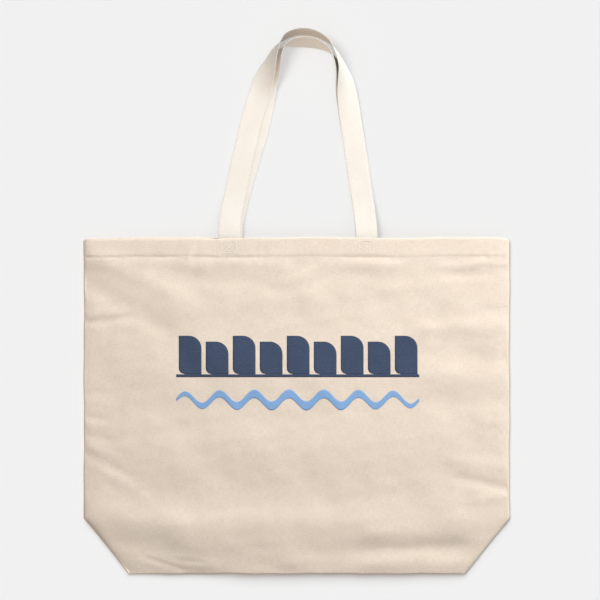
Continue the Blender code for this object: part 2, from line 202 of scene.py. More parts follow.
# Soft folds in the front cloth. Each gives the two ends of its line as x and height above the base
# crease, how wide it is, and how far it rises, or sinks where that is negative.
FRONT_FOLDS = [
    # ridge and valley running in from the left end of the hem
    ((-0.232, 0.375), (-0.146, 0.330), 0.0140, 0.0019),
    ((-0.250, 0.343), (-0.168, 0.299), 0.0110, -0.0015),
    # creases at the left edge
    ((-0.254, 0.299), (-0.202, 0.305), 0.0040, -0.0013),
    ((-0.250, 0.309), (-0.225, 0.312), 0.0050, 0.0005),
    ((-0.253, 0.214), (-0.236, 0.216), 0.0040, -0.0005),
    ((-0.253, 0.187), (-0.230, 0.183), 0.0035, -0.0008),
    ((-0.253, 0.177), (-0.233, 0.175), 0.0030, 0.0005),
    ((-0.253, 0.166), (-0.228, 0.160), 0.0038, -0.0008),
    ((-0.251, 0.152), (-0.226, 0.144), 0.0042, 0.0006),
    ((-0.250, 0.141), (-0.218, 0.124), 0.0060, -0.0011),
    ((-0.222, 0.120), (-0.186, 0.092), 0.0080, 0.0008),
    # creases at the right edge
    ((0.253, 0.316), (0.232, 0.314), 0.0026, -0.0007),
    ((0.253, 0.309), (0.238, 0.307), 0.0022, -0.0006),
    ((0.160, 0.293), (0.244, 0.294), 0.0100, 0.0014),
    ((0.146, 0.262), (0.240, 0.258), 0.0130, -0.0012),
    ((0.170, 0.234), (0.245, 0.231), 0.0100, 0.0008),
    ((0.165, 0.207), (0.248, 0.204), 0.0120, -0.0010),
    ((0.253, 0.256), (0.236, 0.252), 0.0030, -0.0006),
    ((0.253, 0.182), (0.238, 0.178), 0.0035, 0.0005),
    ((0.200, 0.133), (0.253, 0.127), 0.0080, 0.0011),
    ((0.196, 0.113), (0.254, 0.101), 0.0066, -0.0016),
    ((0.254, 0.093), (0.226, 0.088), 0.0050, 0.0007),
    # swells and hollows under the hem
    ((-0.150, 0.370), (-0.110, 0.364), 0.0070, 0.0006),
    ((-0.104, 0.370), (-0.040, 0.368), 0.0065, 0.0008),
    ((-0.112, 0.350), (-0.040, 0.344), 0.0100, -0.0010),
    ((-0.018, 0.345), (0.028, 0.366), 0.0045, 0.0005),
    ((-0.004, 0.334), (0.032, 0.352), 0.0040, -0.0004),
    ((0.046, 0.370), (0.112, 0.367), 0.0060, 0.0007),
    ((0.060, 0.357), (0.120, 0.352), 0.0080, -0.0006),
    ((0.176, 0.366), (0.206, 0.367), 0.0055, 0.0009),
    ((0.188, 0.356), (0.226, 0.356), 0.0045, -0.0007),
    ((0.222, 0.371), (0.252, 0.369), 0.0024, 0.0004),
    ((0.228, 0.364), (0.250, 0.363), 0.0020, -0.0004),
    # the doubled-back stitches at the right end of the hem
    ((0.2345, 0.3830), (0.2385, 0.3785), 0.0012, -0.0004),
    ((0.2415, 0.3840), (0.2425, 0.3790), 0.0011, -0.0004),
    # gathers in the hem beside the handles
    ((-0.123, 0.378), (-0.119, 0.392), 0.0032, -0.0006),
    ((-0.129, 0.377), (-0.126, 0.389), 0.0040, 0.0005),
    ((-0.040, 0.379), (-0.036, 0.391), 0.0040, -0.0005),
    ((0.112, 0.379), (0.117, 0.390), 0.0035, -0.0005),
    # slack towards the lower left corner
    ((-0.150, 0.052), (-0.085, 0.030), 0.0300, 0.0016),
    # slack across the middle
    ((-0.090, 0.150), (0.095, 0.152), 0.0280, 0.0017),
    ((-0.170, 0.090), (0.110, 0.092), 0.0260, -0.0017),
    ((-0.120, 0.250), (0.150, 0.226), 0.0350, 0.0009),
    ((-0.230, 0.230), (-0.120, 0.180), 0.0300, -0.0009),
    ((-0.060, 0.300), (0.120, 0.318), 0.0260, -0.0008),
    # the roll where the front cloth falls past the folded base
    ((-0.190, 0.062), (0.195, 0.060), 0.0150, 0.0014),
    ((-0.176, 0.030), (-0.030, 0.010), 0.0100, -0.0008),
    ((-0.205, 0.066), (-0.100, 0.046), 0.0210, 0.0017),
    ((-0.040, 0.026), (0.070, 0.024), 0.0110, -0.0008),
    ((0.094, 0.029), (0.186, 0.030), 0.0095, -0.0024),
    ((0.100, 0.048), (0.180, 0.048), 0.0075, 0.0008),
    ((0.010, 0.014), (0.192, 0.014), 0.0080, 0.0006),
    # the lower left corner sinks
    ((-0.200, -0.001), (-0.108, -0.003), 0.0120, -0.0022),
    # the lower right corner stays full
    ((0.095, 0.006), (0.190, 0.007), 0.0100, 0.0011),
    # short creases at the lower left
    ((-0.175, 0.017), (-0.138, 0.006), 0.0032, -0.0008),
    ((-0.139, 0.016), (-0.116, 0.013), 0.0034, -0.0007),
]


class TOTE_PG_canvas(bpy.types.PropertyGroup):
    """Sizes and colours of the bag's canvas."""

    color: bpy.props.FloatVectorProperty(
        name="Canvas Colour",
        description="Base colour of the unbleached cotton canvas",
        subtype="COLOR",
        min=0.0,
        max=1.0,
        default=(0.845, 0.725, 0.610),
    )
    thread_pitch: bpy.props.FloatProperty(
        name="Thread Pitch",
        description="Distance between neighbouring threads of the plain weave",
        unit="LENGTH",
        default=0.00047,
    )
    grid_step: bpy.props.FloatProperty(
        name="Grid Step",
        description="Spacing of the mesh rows and columns across the flat cloth",
        unit="LENGTH",
        default=0.0030,
    )
    billow: bpy.props.FloatProperty(
        name="Billow",
        description="How far the slack cloth rises and falls between its folds",
        unit="LENGTH",
        default=0.00058,
    )
    fold_strength: bpy.props.FloatProperty(
        name="Fold Strength",
        description="Scale of the soft folds in the front panel",
        default=1.0,
    )


class TOTE_PG_webbing(bpy.types.PropertyGroup):
    """Sizes and colours of the handles."""

    color: bpy.props.FloatVectorProperty(
        name="Webbing Colour",
        description="Base colour of the cotton webbing",
        subtype="COLOR",
        min=0.0,
        max=1.0,
        default=(0.615, 0.595, 0.556),
    )
    rib_pitch: bpy.props.FloatProperty(
        name="Rib Pitch",
        description="Distance between the slanting ribs of the webbing's weave",
        unit="LENGTH",
        default=0.0021,
    )
    scallop: bpy.props.FloatProperty(
        name="Selvedge Scallop",
        description="How far the loops of the webbing's edges stand out",
        unit="LENGTH",
        default=0.0015,
    )
    scallop_pitch: bpy.props.FloatProperty(
        name="Scallop Pitch",
        description="Distance between the loops along the webbing's edges",
        unit="LENGTH",
        default=0.0034,
    )


class TOTE_PG_stitch(bpy.types.PropertyGroup):
    """Sizes and colours of the sewing."""

    color: bpy.props.FloatVectorProperty(
        name="Thread Colour",
        description="Base colour of the sewing thread",
        subtype="COLOR",
        min=0.0,
        max=1.0,
        default=(0.93, 0.86, 0.77),
    )
    length: bpy.props.FloatProperty(
        name="Stitch Length",
        description="Length of one stitch",
        unit="LENGTH",
        default=0.0026,
    )
    thickness: bpy.props.FloatProperty(
        name="Thread Thickness",
        description="Thickness of the sewing thread in the hems",
        unit="LENGTH",
        default=0.00045,
    )
    tack_thickness: bpy.props.FloatProperty(
        name="Tack Thread Thickness",
        description="Thickness of the doubled thread that holds the handles",
        unit="LENGTH",
        default=0.00085,
    )


class TOTE_PG_print(bpy.types.PropertyGroup):
    """Sizes and colours of the printed motif."""

    dark: bpy.props.FloatVectorProperty(
        name="Dark Ink",
        description="Colour of the garland",
        subtype="COLOR",
        min=0.0,
        max=1.0,
        default=(0.040, 0.064, 0.120),
    )
    light: bpy.props.FloatVectorProperty(
        name="Light Ink",
        description="Colour of the ribbon",
        subtype="COLOR",
        min=0.0,
        max=1.0,
        default=(0.226, 0.400, 0.680),
    )
    leaves: bpy.props.IntProperty(
        name="Leaves",
        description="Number of leaves in the garland",
        default=9,
        min=1,
    )
    waves: bpy.props.IntProperty(
        name="Waves",
        description="Number of waves in the ribbon",
        default=7,
        min=1,
    )


class TOTE_PG_stage(bpy.types.PropertyGroup):
    """Camera and light."""

    distance: bpy.props.FloatProperty(
        name="Camera Height",
        description="Height of the camera over the table",
        unit="LENGTH",
        default=8.0,
    )
    field: bpy.props.FloatProperty(
        name="Field of View",
        description="Width of the view at the height of the table",
        unit="LENGTH",
        default=0.717,
    )
    ambient: bpy.props.FloatProperty(
        name="Ambient Light",
        description="Strength of the even light from all round",
        default=0.16,
    )
    backdrop: bpy.props.FloatProperty(
        name="Backdrop",
        description="Brightness of the empty studio behind the table",
        default=0.88,
    )
    dome: bpy.props.FloatProperty(
        name="Dome Light",
        description="Strength of the soft dome over the bag",
        default=1.06,
    )
    key: bpy.props.FloatProperty(
        name="Key Light",
        description="Power of the soft box beyond the upper right of the bag",
        subtype="POWER",
        unit="POWER",
        default=79.5,
    )
    light_bounces: bpy.props.IntProperty(
        name="Light Bounces",
        description="How many times the key and table lights are passed on between surfaces",
        default=0,
        min=0,
    )
    handle_fill: bpy.props.FloatProperty(
        name="Handle Fill",
        description="Strength of the fill light on the handles",
        default=1.85,
    )
    under_fill: bpy.props.FloatProperty(
        name="Under Fill",
        description="Strength of the light that comes back up from below the bag",
        default=1.3,
    )
    table_light: bpy.props.FloatProperty(
        name="Table Light",
        description="Strength of the overhead light on the table",
        default=2.57,
    )


# ---------------------------------------------------------------- shapes of the cloth


def ease(share):
    """Smooth step from 0 to 1."""
    share = np.clip(share, 0.0, 1.0)
    return share * share * (3 - 2 * share)


def half_width(y):
    """Half the bag's width at y, which narrows where the boxed corners are folded in."""
    return HALF_WIDTH - CORNER_ACROSS * np.maximum(0.0, 1 - (y - BASE_Y) / CORNER_UP)


def back_low(y):
    """Underside of the back cloth: on the table, and lifted at the hem."""
    return HEM_LIFT * ease((y - MOUTH_Y + LIFT_START) / (LIFT_START - LIFT_END))


def billow(x, y, wavelength, seed):
    """An even random swell of about -1 to 1, as a sum of plane waves."""
    random = np.random.RandomState(seed)
    total = np.zeros(np.broadcast(x, y).shape)
    count = 14
    for _ in range(count):
        angle = random.uniform(0, math.tau)
        length = wavelength * random.uniform(0.6, 1.7)
        phase = random.uniform(0, math.tau)
        total += np.sin(math.tau * (x * math.cos(angle) + y * math.sin(angle)) / length + phase)
    return total / math.sqrt(count)


def fold_height(x, y, folds):
    """Sum of the soft folds at each point."""
    total = np.zeros(np.broadcast(x, y).shape)
    for (x1, up1), (x2, up2), width, height in folds:
        start = np.array((x1, BASE_Y + up1))
        line = np.array((x2, BASE_Y + up2)) - start
        length = np.linalg.norm(line)
        line = line / length
        along = (x - start[0]) * line[0] + (y - start[1]) * line[1]
        off = (x - start[0]) * -line[1] + (y - start[1]) * line[0]
        past = np.maximum(0, np.maximum(-along, along - length)) / (2.5 * width)
        total += height * np.exp(-((off / width) ** 2) - past**2)
    return total


def edge_drop(distance, width=EDGE_ROUND):
    """Share of the roll-over at a cloth edge, 1 on the edge and 0 from width inwards."""
    share = np.clip(1 - distance / width, 0.0, 1.0)
    return 1 - np.sqrt(1 - share * share)


def inner_top(x, y):
    """Top of the seam allowance that lies in each boxed corner, with soft flanks."""
    flank = 0.022
    low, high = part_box("corner_seam_right")
    beyond_x = np.maximum(0, np.abs(np.abs(x) - (low.x + high.x) / 2) - (high.x - low.x) / 2)
    beyond_y = np.maximum(0, np.abs(y - (low.y + high.y) / 2) - (high.y - low.y) / 2)
    return high.z * (1 - ease(np.hypot(beyond_x, beyond_y) / flank))


def front_middle(x, y, settings):
    """Height of the middle of the front cloth: plateau, swells, folds, hem stitching and edges."""
    distance = half_width(y) - np.abs(x)
    up = y - BASE_Y
    edge = back_low(y) + EDGE_STACK + CLOTH / 2
    rise = PLATEAU_TOP - CLOTH / 2 - edge
    side = 0.24 * (1 - np.exp(-distance / 0.006)) + 0.76 * (1 - (1 - distance / HALF_WIDTH) ** 2)
    base = 0.48 * (1 - np.exp(-up / 0.0003)) + 0.52 * np.sin(math.pi / 2 * np.clip(up / 0.062, 0, 1))
    height = edge + rise * side * base
    hem = ease((y - HEM_LOW_Y + 0.010) / 0.012)
    calm = ease(distance / 0.016) * ease(up / 0.012) * (1 - 0.6 * hem)
    swell = billow(x, y, 0.075, 3) + 0.30 * billow(x, y, 0.028, 5) + 0.09 * billow(x, y, 0.011, 8)
    height += settings.billow * swell * calm
    height += settings.fold_strength * fold_height(x, y, FRONT_FOLDS) * ease(distance / 0.004)
    off = (y - HEM_LOW_Y) / 0.0024
    pull = 0.30 + 0.85 * np.exp(-(((np.abs(x) - 0.082) / 0.026) ** 2)) + 0.7 * ease((-0.125 - x) / 0.050)
    pucker = 0.85 + 0.55 * billow(x, 0 * y, 0.030, 21) + 0.35 * billow(x, 0 * y, 0.007, 22)
    pucker = np.clip(pucker, 0.0, 2.0) * pull
    height -= 0.00052 * np.exp(-off * off) * pucker * ease(distance / 0.004)
    gather = billow(x, 0.45 * y, 0.0125, 23) + 0.8 * billow(x, 0.7 * y, 0.034, 24)
    height += 0.00024 * gather * np.exp(-np.abs(y - HEM_LOW_Y) / 0.009) * ease(distance / 0.006)
    height += 0.00045 * ease((y - HEM_LOW_Y) / 0.004) * ease(distance / 0.010)
    clear = inner_top(x, y) + CLOTH / 2 + GAP
    height = np.where(height < clear, clear, height)
    low = np.where(up < CORNER_UP, CORNER_FOLD_Z[1], SIDE_SEAM_Z[1]) + back_low(y)
    return height + (low - height) * edge_drop(distance, roll_width(x, y))


def roll_width(x, y):
    """How far in from its edge the front cloth starts to roll over: more on the boxed corners."""
    up = (y - BASE_Y) / CORNER_UP
    corner = ease(up / 0.2) * ease((1 - up) / 0.35)
    return EDGE_ROUND + (0.0034 - 0.0012 * np.sign(x)) * corner


def back_middle(x, y, settings):
    """Height of the middle of the back cloth, which lies on the table."""
    distance = half_width(y) - np.abs(x)
    lift = 0.22 * settings.billow * (1 + billow(x, y, 0.090, 11))
    height = back_low(y) + CLOTH / 2 + np.maximum(0, lift) * ease(distance / 0.030)
    high = np.where(y - BASE_Y < CORNER_UP, CORNER_FOLD_Z[0], SIDE_SEAM_Z[0]) + back_low(y)
    return height + (high - height) * edge_drop(distance)


def warp(x, y, front=1.0):
    """Small wander of the cloth in its own plane, so that no edge is ruled straight."""
    near_mouth = ease((y - MOUTH_Y + 0.060) / 0.060)
    near_base = ease((BASE_Y + 0.030 - y) / 0.030)
    side = ease((np.abs(x) - HALF_WIDTH + 0.050) / 0.050)
    dy = near_mouth * (0.0005 * np.sin(x / 0.029 + 0.7) + 0.0003 * np.sin(x / 0.0113))
    dy = dy + near_base * (-0.0007 + 0.0003 * np.sin(x / 0.021) + 0.0002 * np.sin(x / 0.0073))
    corner = ease((y - MOUTH_Y + 0.008) / 0.008)
    dy = dy - corner * 0.0026 * np.exp(-(HALF_WIDTH - np.abs(x)) / 0.0022)
    dip = ease((x + 0.246) / 0.012) * ease((-0.070 - x) / 0.040)
    dy = dy - front * 0.0013 * dip * ease((y - MOUTH_Y + 0.025) / 0.025)
    wander = 0.0003 * np.sin(y / 0.023 + np.sign(x)) + 0.0002 * np.sin(y / 0.0087) - 0.0003
    dx = np.sign(x) * side * wander
    return dx, dy


def on_front(x, y, settings, above=0.0):
    """The place of a spot on the front cloth: above its top by so much."""
    dx, dy = warp(x, y)
    return np.stack([x + dx, y + dy, front_middle(x, y, settings) + CLOTH / 2 + above], axis=-1)


def under_back(x, y, settings, below=0.0):
    """The place of a spot on the underside of the back cloth."""
    dx, dy = warp(x, y, 0.0)
    return np.stack([x + dx, y + dy, back_middle(x, y, settings) - CLOTH / 2 - below], axis=-1)


# ---------------------------------------------------------------- mesh making


def make_object(name, points, faces, material, uvs=None):
    """A smooth-shaded mesh object from points and faces, with one UV per face corner."""
    mesh = bpy.data.meshes.new(name)
    mesh.from_pydata([tuple(p) for p in points], [], faces)
    if uvs is not None:
        layer = mesh.uv_layers.new(name="UVMap")
        layer.data.foreach_set("uv", np.asarray(uvs, np.float32).ravel())
    mesh.materials.append(material)
    mesh.shade_smooth()
    mesh.update()
    obj = bpy.data.objects.new(name, mesh)
    bpy.context.scene.collection.objects.link(obj)
    return obj


def grid_quads(points):
    """Faces of a grid of points, four point numbers each."""
    rows, columns = points.shape[:2]
    index = np.arange(rows * columns).reshape(rows, columns)
    corners = (index[:-1, :-1], index[:-1, 1:], index[1:, 1:], index[1:, :-1])
    return np.stack(corners, axis=-1).reshape(-1, 4)


def grid_object(name, points, uv, material):
    """A sheet object from a grid of points, with a grid of UVs in metres."""
    quads = grid_quads(points)
    corner_uv = uv.reshape(-1, 2)[quads.ravel()]
    return make_object(name, points.reshape(-1, 3), quads.tolist(), material, corner_uv)


def apply_modifiers(obj):
    """Turn an object's modifiers into plain mesh."""
    depsgraph = bpy.context.evaluated_depsgraph_get()
    made = bpy.data.meshes.new_from_object(obj.evaluated_get(depsgraph))
    obj.modifiers.clear()
    obj.data = made


def thicken(obj, thickness, offset=0.0):
    """Give a sheet its thickness."""
    modifier = obj.modifiers.new("thickness", "SOLIDIFY")
    modifier.thickness = thickness
    modifier.offset = offset
    modifier.use_even_offset = False
    apply_modifiers(obj)


def place(obj, body, slot, *nodes):
    """Let a piece ride on a body and stand for its frame nodes, which are hidden; the slot is not used."""
    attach(obj, body)
    if nodes:
        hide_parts(*nodes)


# ---------------------------------------------------------------- materials


def connect(tree, socket, value):
    """Link a socket to an input, or set the input's value."""
    if isinstance(value, bpy.types.NodeSocket):
        tree.links.new(value, socket)
    else:
        socket.default_value = value


def calc(tree, operation, first, second=None, third=None):
    """One math node."""
    node = tree.nodes.new("ShaderNodeMath")
    node.operation = operation
    for socket, value in zip(node.inputs, (first, second, third)):
        if value is not None:
            connect(tree, socket, value)
    return node.outputs[0]


def blend_color(tree, share, first, second):
    """A mix of two colours."""
    node = tree.nodes.new("ShaderNodeMix")
    node.data_type = "RGBA"
    connect(tree, node.inputs["Factor"], share)
    connect(tree, node.inputs["A"], first)
    connect(tree, node.inputs["B"], second)
    return node.outputs["Result"]


def wave(tree, value, pitch):
    """A sine wave that repeats every pitch."""
    return calc(tree, "SINE", calc(tree, "MULTIPLY", value, math.tau / pitch))


def shade(color, *factors):
    """A darker or paler shade of a colour, by a factor for each channel."""
    return (*(min(1, channel * factor) for channel, factor in zip(color, factors)), 1.0)


def scaled_noise(tree, vector, scale, detail=2.0):
    """Noise that is stretched by scale, given per metre along each axis."""
    mapping = tree.nodes.new("ShaderNodeMapping")
    connect(tree, mapping.inputs["Vector"], vector)
    mapping.inputs["Scale"].default_value = scale
    node = tree.nodes.new("ShaderNodeTexNoise")
    node.inputs["Scale"].default_value = 1.0
    node.inputs["Detail"].default_value = detail
    tree.links.new(mapping.outputs["Vector"], node.inputs["Vector"])
    return node.outputs["Fac"]


def remap(tree, value, low, high, out_low=0.0, out_high=1.0):
    """A value taken from one range to another."""
    node = tree.nodes.new("ShaderNodeMapRange")
    connect(tree, node.inputs["Value"], value)
    names = ("From Min", "From Max", "To Min", "To Max")
    for name, number in zip(names, (low, high, out_low, out_high)):
        node.inputs[name].default_value = number
    return node.outputs["Result"]


def start_material(name, roughness, sheen):
    """A new Principled material, with its tree, shader and UV coordinate."""
    material = bpy.data.materials.new(name)
    material.use_nodes = True
    tree = material.node_tree
    shader = tree.nodes["Principled BSDF"]
    shader.inputs["Roughness"].default_value = roughness
    shader.inputs["Sheen Weight"].default_value = sheen
    shader.inputs["Sheen Roughness"].default_value = 0.6
    shader.inputs["Specular IOR Level"].default_value = 0.25
    coordinate = tree.nodes.new("ShaderNodeUVMap")
    coordinate.uv_map = "UVMap"
    return material, tree, shader, coordinate.outputs["UV"]


def add_bump(tree, shader, height, distance, strength=1.0):
    """Bump the shader's surface by a height."""
    node = tree.nodes.new("ShaderNodeBump")
    node.inputs["Distance"].default_value = distance
    node.inputs["Strength"].default_value = strength
    connect(tree, node.inputs["Height"], height)
    tree.links.new(node.outputs["Normal"], shader.inputs["Normal"])


def plain_weave(tree, uv, pitch):
    """Height of a plain weave, from 0 between the threads to 1 on top of them."""
    drift = tree.nodes.new("ShaderNodeTexNoise")
    drift.inputs["Scale"].default_value = 260.0
    tree.links.new(uv, drift.inputs["Vector"])
    shift = tree.nodes.new("ShaderNodeVectorMath")
    shift.operation = "MULTIPLY_ADD"
    tree.links.new(drift.outputs["Color"], shift.inputs[0])
    shift.inputs[1].default_value = (0.0009, 0.0009, 0.0)
    tree.links.new(uv, shift.inputs[2])
    split = tree.nodes.new("ShaderNodeSeparateXYZ")
    tree.links.new(shift.outputs["Vector"], split.inputs[0])
    warp_wave = wave(tree, split.outputs["X"], 2 * pitch)
    weft_wave = wave(tree, split.outputs["Y"], 2 * pitch)
    over = calc(tree, "GREATER_THAN", calc(tree, "MULTIPLY", warp_wave, weft_wave), 0.0)
    warp_round = calc(tree, "ABSOLUTE", warp_wave)
    weft_round = calc(tree, "ABSOLUTE", weft_wave)
    difference = calc(tree, "SUBTRACT", warp_round, weft_round)
    return calc(tree, "MULTIPLY_ADD", difference, over, weft_round)


def slubs(tree, uv):
    """Uneven thread thickness along both directions of a weave, around 0.5."""
    across = scaled_noise(tree, uv, (800.0, 150.0, 1.0))
    along = scaled_noise(tree, uv, (150.0, 800.0, 1.0))
    return calc(tree, "MULTIPLY", calc(tree, "ADD", across, along), 0.5)


def seed_flecks(tree, uv, per_metre, size):
    """Sparse small specks: 1 on a speck and 0 off it."""
    cells = tree.nodes.new("ShaderNodeTexVoronoi")
    cells.inputs["Scale"].default_value = per_metre
    cells.inputs["Randomness"].default_value = 1.0
    connect(tree, cells.inputs["Vector"], uv)
    near = remap(tree, cells.outputs["Distance"], size, size * 0.4)
    pick = tree.nodes.new("ShaderNodeSeparateColor")
    tree.links.new(cells.outputs["Color"], pick.inputs[0])
    chosen = calc(tree, "GREATER_THAN", pick.outputs[0], 0.55)
    return calc(tree, "MULTIPLY", near, chosen)


def canvas_material(settings):
    """Natural plain-weave canvas, with slubs, soft mottling, seed flecks and painted shade between the
    threads.
    """
    material, tree, shader, uv = start_material("natural_canvas", 0.92, 0.12)
    color = (*settings.color, 1.0)
    weave = plain_weave(tree, uv, settings.thread_pitch)
    slub = slubs(tree, uv)
    mottle = scaled_noise(tree, uv, (26.0, 26.0, 1.0), 4.0)
    grain = scaled_noise(tree, uv, (330.0, 360.0, 1.0), 3.0)
    # the deep tone is both random darker tone for slubs and mottling and painted shade between the threads
    deep = shade(settings.color, 0.86, 0.83, 0.79)
    pale = shade(settings.color, 1.05, 1.06, 1.08)
    base = blend_color(tree, remap(tree, slub, 0.30, 0.70), deep, pale)
    base = blend_color(tree, remap(tree, grain, 0.30, 0.75, 0.0, 0.45), base, color)
    base = blend_color(tree, remap(tree, mottle, 0.35, 0.75, 0.0, 0.35), base, deep)
    # painted shade: the colour darkens where the weave sinks between the threads
    base = blend_color(tree, remap(tree, weave, 0.0, 0.45, 0.30, 0.0), base, deep)
    flecks = seed_flecks(tree, uv, 62.0, 0.034)
    base = blend_color(tree, calc(tree, "MULTIPLY", flecks, 0.42), base, (0.30, 0.19, 0.11, 1.0))
    tree.links.new(base, shader.inputs["Base Color"])
    tree.links.new(remap(tree, grain, 0.2, 0.8, 0.86, 0.98), shader.inputs["Roughness"])
    height = calc(tree, "MULTIPLY_ADD", slub, 1.4, weave)
    height = calc(tree, "MULTIPLY_ADD", grain, 0.9, height)
    add_bump(tree, shader, height, 0.00022, 0.85)
    return material


def webbing_material(settings):
    """Cotton webbing: slanting ribs that turn back and forth across the width, with painted shade in the
    grooves between the ribs.
    """
    material, tree, shader, uv = start_material("cotton_webbing", 0.88, 0.15)
    color = (*settings.color, 1.0)
    split = tree.nodes.new("ShaderNodeSeparateXYZ")
    connect(tree, split.inputs[0], uv)
    zigzag = calc(tree, "PINGPONG", split.outputs["Y"], WEB_WIDTH / 6)
    slant = calc(tree, "ADD", split.outputs["X"], zigzag)
    rib = wave(tree, slant, settings.rib_pitch)
    cord = wave(tree, split.outputs["Y"], 0.00085)
    height = calc(tree, "MULTIPLY_ADD", cord, 0.35, rib)
    grain = scaled_noise(tree, uv, (520.0, 520.0, 1.0), 3.0)
    mottle = scaled_noise(tree, uv, (34.0, 60.0, 1.0), 3.0)
    # the deep tone is painted shade in the rib grooves and random darker tone in the mottle and grain
    deep = shade(settings.color, 0.84, 0.76, 0.67)
    # painted shade: the colour darkens to the warm deep tone in the grooves between the ribs
    base = blend_color(tree, remap(tree, height, -1.2, 0.4, 0.24, 0.0), color, deep)
    base = blend_color(tree, remap(tree, mottle, 0.35, 0.75, 0.0, 0.22), base, deep)
    base = blend_color(tree, remap(tree, grain, 0.45, 0.85, 0.0, 0.22), base, deep)
    tree.links.new(base, shader.inputs["Base Color"])
    tree.links.new(remap(tree, grain, 0.2, 0.8, 0.82, 0.95), shader.inputs["Roughness"])
    height = calc(tree, "MULTIPLY_ADD", grain, 1.2, height)
    add_bump(tree, shader, height, 0.00010, 1.0)
    return material


def thread_material(settings):
    """Twisted sewing thread, with painted shade in the grooves of the twist."""
    material, tree, shader, uv = start_material("sewing_thread", 0.78, 0.10)
    color = (*settings.color, 1.0)
    split = tree.nodes.new("ShaderNodeSeparateXYZ")
    connect(tree, split.inputs[0], uv)
    slant = calc(tree, "ADD", split.outputs["X"], split.outputs["Y"])
    twist = wave(tree, slant, 0.00035)
    deep = shade(settings.color, 0.80, 0.80, 0.80)
    # painted shade: the colour darkens in the grooves of the twist
    base = blend_color(tree, remap(tree, twist, -1.0, 0.3, 0.5, 0.0), color, deep)
    tree.links.new(base, shader.inputs["Base Color"])
    add_bump(tree, shader, twist, 0.00006)
    return material


def ink_material(name, color, canvas):
    """Screen-printed ink: it sits in the weave, and thins on top of the threads."""
    material, tree, shader, uv = start_material(name, 0.74, 0.04)
    weave = plain_weave(tree, uv, canvas.thread_pitch)
    slub = slubs(tree, uv)
    grain = scaled_noise(tree, uv, (600.0, 600.0, 1.0), 3.0)
    full = (*color, 1.0)
    cloth = (*canvas.color, 1.0)
    wear = calc(tree, "MULTIPLY", remap(tree, grain, 0.52, 0.80, 0.0, 0.12), weave)
    base = blend_color(tree, wear, full, cloth)
    dark = shade(color, 0.80, 0.80, 0.80)
    base = blend_color(tree, remap(tree, slub, 0.35, 0.65, 0.0, 0.35), base, dark)
    tree.links.new(base, shader.inputs["Base Color"])
    tree.links.new(remap(tree, grain, 0.2, 0.8, 0.66, 0.84), shader.inputs["Roughness"])
    height = calc(tree, "MULTIPLY_ADD", slub, 1.4, weave)
    add_bump(tree, shader, height, 0.00020, 0.8)
    return material


def table_material():
    """Plain pale table, which is clear from underneath."""
    material = bpy.data.materials.new("pale_table")
    material.use_nodes = True
    tree = material.node_tree
    shader = tree.nodes["Principled BSDF"]
    shader.inputs["Base Color"].default_value = (0.90, 0.90, 0.90, 1.0)
    shader.inputs["Roughness"].default_value = 0.95
    shader.inputs["Specular IOR Level"].default_value = 0.0
    side = tree.nodes.new("ShaderNodeNewGeometry")
    clear = tree.nodes.new("ShaderNodeBsdfTransparent")
    mix = tree.nodes.new("ShaderNodeMixShader")
    tree.links.new(side.outputs["Backfacing"], mix.inputs["Fac"])
    tree.links.new(shader.outputs["BSDF"], mix.inputs[1])
    tree.links.new(clear.outputs["BSDF"], mix.inputs[2])
    tree.links.new(mix.outputs["Shader"], tree.nodes["Material Output"].inputs["Surface"])
    return material


# ---------------------------------------------------------------- the canvas body


def edge_columns(reach, step):
    """Columns across a row, each as its share of the inner half width and its distance from the edge."""
    near = [0.0, 0.0002, 0.0005, 0.0009, 0.0014, 0.0022, 0.0034, 0.0052]
    left = [(-1.0, distance) for distance in near]
    middle = [(share, SIDE_BAND) for share in np.linspace(-1, 1, int(2 * reach / step))]
    right = [(1.0, distance) for distance in reversed(near)]
    return np.array(left + middle + right)


def row_places(columns, reach):
    """x of each column on a row that reaches from -reach to reach."""
    share, distance = columns[:, 0], columns[:, 1]
    outer = np.sign(share) * (reach - distance)
    inner = share * (reach - SIDE_BAND)
    return np.where(distance < SIDE_BAND, outer, inner)


def front_rows(step):
    """y places down the front cloth, closer together at the mouth, the stitch line and the base."""
    above = HEM_LOW_Y + STITCH_BAND
    below = HEM_LOW_Y - STITCH_BAND
    last = (0.0065, 0.0050, 0.0036, 0.0025, 0.0017, 0.0011, 0.0007, 0.0004, 0.0002, 0.0)
    count = int((below - BASE_Y - BASE_BAND) / step)
    rows = [
        np.linspace(MOUTH_Y - LAYER / 2, above, 10),
        np.linspace(above, below, 14)[1:],
        np.linspace(below, BASE_Y + BASE_BAND, count)[1:],
        np.linspace(BASE_Y + BASE_BAND, BASE_Y + BASE_RIM, 22)[1:],
        BASE_Y + LAYER / 2 + np.array(last),
    ]
    return np.concatenate(rows)


def turn_rows(x, y_edge, outward, first, second, steps=5):
    """Rows round a fold, from height first to height second, bulging outward along y."""
    middle = (first + second) / 2
    half = (first - second) / 2
    bulge = outward * np.minimum(np.abs(half), LAYER * 0.55)
    angles = [math.pi * k / steps for k in range(1, steps)]
    return [(x, y_edge + bulge * math.sin(angle), middle + half * math.cos(angle)) for angle in angles]


